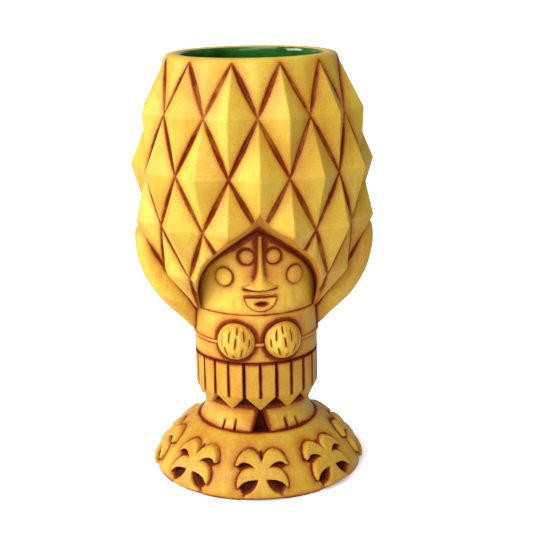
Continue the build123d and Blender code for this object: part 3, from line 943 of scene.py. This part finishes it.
def green_glaze():
    """Thick glossy green glaze, clouded between a darker and a lighter green."""
    material = bpy.data.materials.new("green_glaze")
    material.use_nodes = True
    tree = material.node_tree
    shader = tree.nodes["Principled BSDF"]
    wash_and_shade = node(tree, "ShaderNodeAttribute", attribute_name="wash_and_shade").outputs["Fac"]
    cloud = noise(tree, 0.08, detail=3.0)
    tint = blend_colour(tree, ramp(tree, cloud, 0.35, 0.65), (0.009, 0.072, 0.008), (0.023, 0.145, 0.017))
    tint = blend_colour(tree, ramp(tree, wash_and_shade, 0.0, 1.5, 0.55, 0.0), tint, (0.02, 0.11, 0.015))
    tree.links.new(tint, shader.inputs["Base Color"])
    shader.inputs["Roughness"].default_value = 0.12
    shader.inputs["Coat Weight"].default_value = 0.35
    shader.inputs["Coat Roughness"].default_value = 0.05
    ripple = noise(tree, 0.09, detail=2.0)
    rough = ramp(tree, ripple, 0.3, 0.7, 0.08, 0.18)
    tree.links.new(rough, shader.inputs["Roughness"])
    bump = node(tree, "ShaderNodeBump")
    bump.inputs["Strength"].default_value = 0.25
    bump.inputs["Distance"].default_value = 0.8 * MM
    tree.links.new(ripple, bump.inputs["Height"])
    tree.links.new(bump.outputs["Normal"], shader.inputs["Normal"])
    return material


# ---- Stage -------------------------------------------------------------------------------
def paper():
    """Matt white paper that glows white for the camera whatever falls on it, but less near the mug: a painted darker
    ring round the base, where the real contact shadow also shows.
    """
    material = bpy.data.materials.new("paper")
    material.use_nodes = True
    tree = material.node_tree
    shader = tree.nodes["Principled BSDF"]
    shader.inputs["Base Color"].default_value = (0.8, 0.8, 0.8, 1.0)
    shader.inputs["Roughness"].default_value = 0.9
    shader.inputs["Emission Color"].default_value = (1.0, 1.0, 1.0, 1.0)
    seen = node(tree, "ShaderNodeLightPath").outputs["Is Camera Ray"]
    place = node(tree, "ShaderNodeTexCoord").outputs["Object"]
    away = node(tree, "ShaderNodeVectorMath", operation="LENGTH")
    tree.links.new(place, away.inputs[0])
    # Painted shade: the camera glow drops near the mug, darkening a ring round the base.
    glow_with_shade_ring = ramp(tree, away.outputs["Value"], 0.047, 0.070, 0.35, 0.72)
    tree.links.new(math_node(tree, "MULTIPLY", seen, glow_with_shade_ring), shader.inputs["Emission Strength"])
    return material


def floor():
    """A pale sweep: flat under the mug and curving up far behind it."""
    profile = [(-3.0, 0.0)] + [(0.9 + 0.5 * math.sin(a), 0.5 - 0.5 * math.cos(a))
                               for a in np.linspace(0, math.pi / 2, 24)] + [(1.4, 3.0)]
    vertices = [(x, y, z) for x in (-4.0, 4.0) for y, z in profile]
    n = len(profile)
    faces = [(i, i + n, i + n + 1, i + 1) for i in range(n - 1)]
    mesh = bpy.data.meshes.new("sweep")
    mesh.from_pydata(vertices, [], faces)
    mesh.shade_smooth()
    mesh.materials.append(paper())
    sweep = bpy.data.objects.new("sweep", mesh)
    bpy.context.scene.collection.objects.link(sweep)


def area_light(name, place, target, size, watts, colour=(1, 1, 1)):
    data = bpy.data.lights.new(name, "AREA")
    data.shape = "RECTANGLE"
    data.size, data.size_y = size
    data.energy = watts
    data.color = colour
    lamp = bpy.data.objects.new(name, data)
    bpy.context.scene.collection.objects.link(lamp)
    lamp.location = place
    lamp.rotation_euler = (Vector(target) - Vector(place)).to_track_quat("-Z", "Y").to_euler()
    return lamp


def lights():
    area_light("key", (-0.38, -0.70, 0.78), (0, 0, 0.11), (0.7, 0.7), 8.4)
    area_light("left", (-1.0, -0.12, 0.42), (0, 0, 0.11), (0.6, 0.6), 9.5)
    area_light("fill", (0.0, -1.05, 0.26), (0, 0, 0.10), (0.6, 0.6), 2.1)
    snoot = area_light("snoot", (0.03, -0.95, 0.14), (-0.010, -0.02, 0.098), (0.06, 0.06), 0.0055)
    snoot.data.spread = math.radians(5.5)
    area_light("top", (0.05, 0.1, 1.1), (0, 0, 0.1), (0.8, 0.8), 2.4)
    world = bpy.data.worlds.new("studio")
    world.use_nodes = True
    world.node_tree.nodes["Background"].inputs["Color"].default_value = (1.0, 1.0, 1.0, 1.0)
    world.node_tree.nodes["Background"].inputs["Strength"].default_value = 0.17
    bpy.context.scene.world = world


def camera():
    """A short telephoto, a little above the rim and a little to the figure's right."""
    distance, height = 541.6, 242.8
    turn_in, pitch, roll = math.radians(3.78), math.radians(14.96), math.radians(0.98)
    data = bpy.data.cameras.new("camera")
    data.sensor_width = 36.0
    data.lens = 1170.0 / 533.0 * 36.0
    data.clip_start, data.clip_end = 0.01, 20.0
    eye = bpy.data.objects.new("camera", data)
    bpy.context.scene.collection.objects.link(eye)
    side_shift = 5.6
    right = np.array([math.cos(turn_in), -math.sin(turn_in), 0.0])
    ahead = np.array([math.sin(turn_in), math.cos(turn_in), 0.0])
    place = -ahead * distance + right * side_shift
    eye.location = Vector((place[0], place[1], height)) * MM
    look = Vector((ahead[0] * math.cos(pitch), ahead[1] * math.cos(pitch), -math.sin(pitch)))
    across = Vector(right)
    up = across.cross(look)
    across2 = across * math.cos(roll) - up * math.sin(roll)
    up2 = up * math.cos(roll) + across * math.sin(roll)
    eye.rotation_euler = Matrix((across2, up2, -look)).transposed().to_euler()
    bpy.context.scene.camera = eye


# ---- Build -------------------------------------------------------------------------------
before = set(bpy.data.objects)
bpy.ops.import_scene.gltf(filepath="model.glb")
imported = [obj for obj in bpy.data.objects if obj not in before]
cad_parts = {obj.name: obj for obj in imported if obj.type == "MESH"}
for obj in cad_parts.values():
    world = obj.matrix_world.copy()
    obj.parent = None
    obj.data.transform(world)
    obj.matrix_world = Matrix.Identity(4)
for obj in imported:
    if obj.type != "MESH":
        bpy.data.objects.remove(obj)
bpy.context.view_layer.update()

clay_look = antiqued_and_shaded_clay()
glaze_look = green_glaze()
coarse = 1.0


def place(name, nodes, field, low, high, step, wash_and_shade, look, slot):
    piece = clay(name, field, low, high, step * coarse, wash_and_shade)
    piece.data.materials.append(look)
    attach(piece, "root")
    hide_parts(*nodes)
    return piece


def mirrored_field(field):
    return lambda p: field(p * MIRROR)


def yellow(name, field, low, high, step, wash_and_shade):
    return place(name, [name], field, low, high, step, wash_and_shade, clay_look, "antiqued_yellow")


def pair(name, field, low, high, step, wash_and_shade):
    """A piece on the figure's left (+X) and its mirror image on the right."""
    yellow("left_" + name, field, low, high, step, wash_and_shade)
    low, high = (-high[0], low[1], low[2]), (-low[0], high[1], high[2])
    yellow("right_" + name, mirrored_field(field), low, high, step, mirrored_field(wash_and_shade))


def face_pair(name, field, low, high, step, wash_and_shade):
    """A mirrored pair on the face, carried round with the other features."""
    yellow("left_" + name, on_face(field), low, high, step, on_face(wash_and_shade))
    low, high = (-high[0], low[1], low[2]), (-low[0], high[1], high[2])
    yellow("right_" + name, on_face(mirrored_field(field)), low, high, step, on_face(mirrored_field(wash_and_shade)))


yellow("pineapple_cup", cup_field, (-59, -59, 78), (59, 59, 202), 0.55, cup_crevice)
place("green_glaze_liner", ["green_glaze_liner"], liner_field, (-50, -50, 4), (50, 50, 201), 0.6,
      lambda p: np.full(len(p), 12.0), glaze_look, "green_glaze")
yellow("face_wall", face_field, (-31, -31, 81), (31, -7, 130), 0.4, face_wash_and_shade)
# The eyes take a slow spread, so the wash darkens the whole disc: painted shade of the hood over the eyes.
face_pair("eye", lambda p: disc_field(p, EYE), (1, -32, 105), (12, -24, 116), 0.25, disc_wash_and_shade(EYE, 0.6))
face_pair("cheek", lambda p: disc_field(p, CHEEK), (10, -31, 94), (24, -18, 107), 0.25, disc_wash_and_shade(CHEEK, 1.3))
yellow("nose", on_face(nose_field), (-10, -36, 92), (11, -26, 123), 0.25, on_face(nose_crevice))
yellow("mouth", on_face(mouth_field), (-9, -33, 83), (10, -26, 94), 0.25, on_face(mouth_crevice))
yellow("torso_drum", torso_field, (-31, -31, 18), (31, 31, 85), 0.5, torso_crevice)
pair("arm", arm_field, (10, -34, 63), (59, 19, 127), 0.5, arm_crevice)
pair("coconut", coconut_field, (0, -38, 58), (22, -18, 80), 0.2, coconut_crevice)
yellow("bra_cord", cord_field, (-32, -32, 66), (32, 32, 71), 0.3, cord_crevice)
yellow("skirt_panels", skirt_field, (-32, -32, 33), (32, 32, 61), 0.33, skirt_wash_and_shade)
pair("foot", foot_field, (0, -30, 22), (30, 30, 44), 0.4, foot_wash_and_shade)
yellow("base_dome", dome_field, (-53, -53, -2), (53, 53, 27), 0.55, dome_wash_and_shade)
yellow("palm_sprigs", palm_field, (-54, -54, -1), (54, 54, 23), 0.45, palm_crevice)

floor()
lights()
camera()
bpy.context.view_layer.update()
scene = bpy.context.scene
scene.view_settings.view_transform = "Standard"
